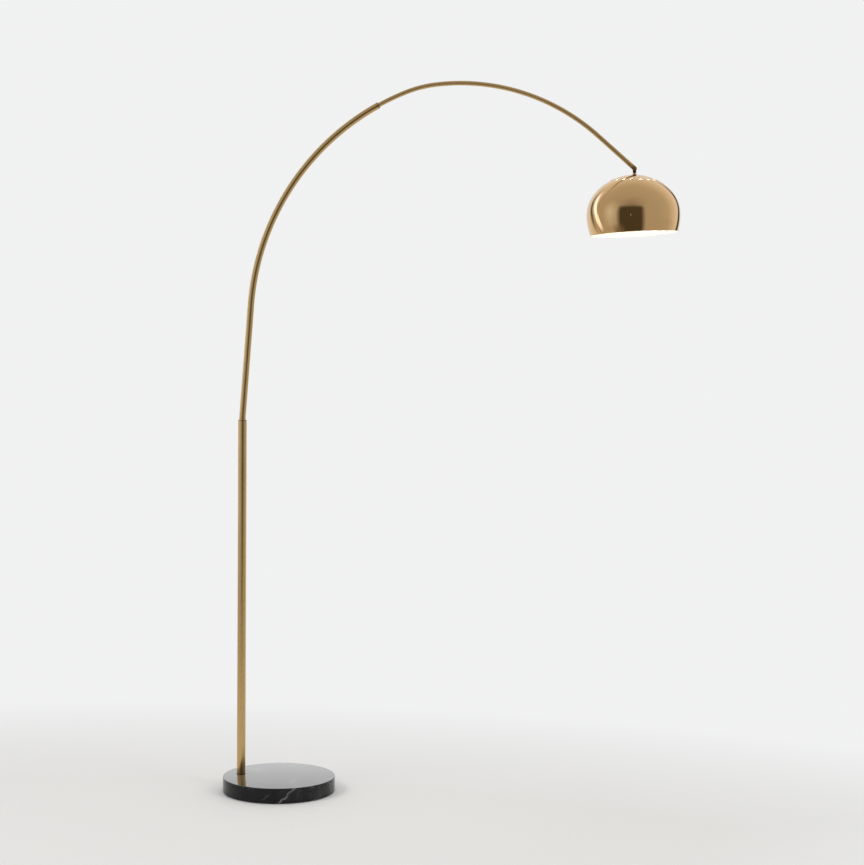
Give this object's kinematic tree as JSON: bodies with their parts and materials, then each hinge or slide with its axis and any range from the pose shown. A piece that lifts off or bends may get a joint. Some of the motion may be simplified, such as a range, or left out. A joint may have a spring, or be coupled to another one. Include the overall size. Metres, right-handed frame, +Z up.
{
  "type": "arc floor lamp",
  "caption": "Floor lamp with a stone disc base, an upright post, a telescoping arc and a perforated dome shade that tilts on a knuckle.",
  "frame": {"origin": "centre of the felt pad's lower face, on the floor under the middle of the round base", "axes": "+Z up, +X from the base towards the shade in the plane of the arc, +Y away from the side the lamp is usually seen from"},
  "size_m": [1.3161, 0.33, 2.0726],
  "materials": {
    "marble": "polished",
    "felt": "matte",
    "black_rubber": "matte",
    "steel": "zinc plated",
    "brushed_brass": "brushed satin",
    "polished_brass": "polished",
    "dark_brass": "satin",
    "black_nylon": "satin",
    "black_steel": "blackened",
    "lead_pvc": "matte",
    "black_bakelite": "gloss",
    "porcelain": "glazed",
    "nickel": "bright nickel plated",
    "frosted_glass": "frosted"
  },
  "bodies": {
    "stand": {"base_stone": "marble", "base_pad": "felt", "cable_grommet": "black_rubber", "foot_gasket": "black_rubber", "post_foot_plug": "steel", "base_stud": "steel", "base_washer": "steel", "base_lock_washer": "steel", "base_nut": "steel", "post_tube": "brushed_brass", "post_top_bush": "black_nylon", "post_lower_bush": "black_nylon", "post_stop_ring": "steel", "post_set_screw": "black_steel", "post_lead": "lead_pvc"},
    "arm": {"arm_tube": "brushed_brass", "arm_end_bush": "black_nylon", "arm_lead": "lead_pvc"},
    "boom": {"boom_tube": "brushed_brass", "boom_tail_sleeve": "black_nylon", "boom_lead": "lead_pvc", "knuckle_fork": "brushed_brass"},
    "knuckle": {"knuckle_tongue": "black_steel", "knuckle_screws": "dark_brass", "knuckle_washers": "black_nylon"},
    "head": {"stem_nipple": "black_steel", "stem_collar": "polished_brass", "shade_cap": "polished_brass", "cap_washer": "steel", "cap_nut": "steel", "lampholder_cap": "black_bakelite", "lampholder_body": "black_bakelite", "lampholder_insert": "porcelain", "socket_shell": "nickel", "socket_contact": "nickel", "lampholder_ring": "black_bakelite", "terminal_screws": "steel", "bulb_cap": "nickel", "bulb_tip": "black_bakelite", "bulb_glass": "frosted_glass", "head_lead": "lead_pvc"},
    "bowl": {"shade_bowl": "polished_brass"}
  },
  "joints": [
    {"name": "arm_swivel", "type": "hinge", "parent": "stand", "child": "arm", "pos_m": [-0.115, 0, 1.092], "axis": [0, 0, 1], "range_deg": [-120, 120]},
    {"name": "boom_extension", "type": "hinge", "parent": "arm", "child": "boom", "pos_m": [0.61729, 0, 1.37878], "axis": [0, 1, 0], "range_deg": [-6, 15]},
    {"name": "head_tilt", "type": "hinge", "parent": "boom", "child": "knuckle", "pos_m": [1.02029, 0, 1.82042], "axis": [0, 1, 0], "range_deg": [-45, 40]},
    {"name": "head_swivel", "type": "hinge", "parent": "knuckle", "child": "head", "pos_m": [1.02029, 0, 1.82042], "axis": [0, 0, 1], "range_deg": [-170, 170]},
    {"name": "bowl_tilt", "type": "hinge", "parent": "head", "child": "bowl", "pos_m": [1.02029, 0, 1.66243], "axis": [0, 1, 0], "range_deg": [-2.5, 9]}
  ]
}
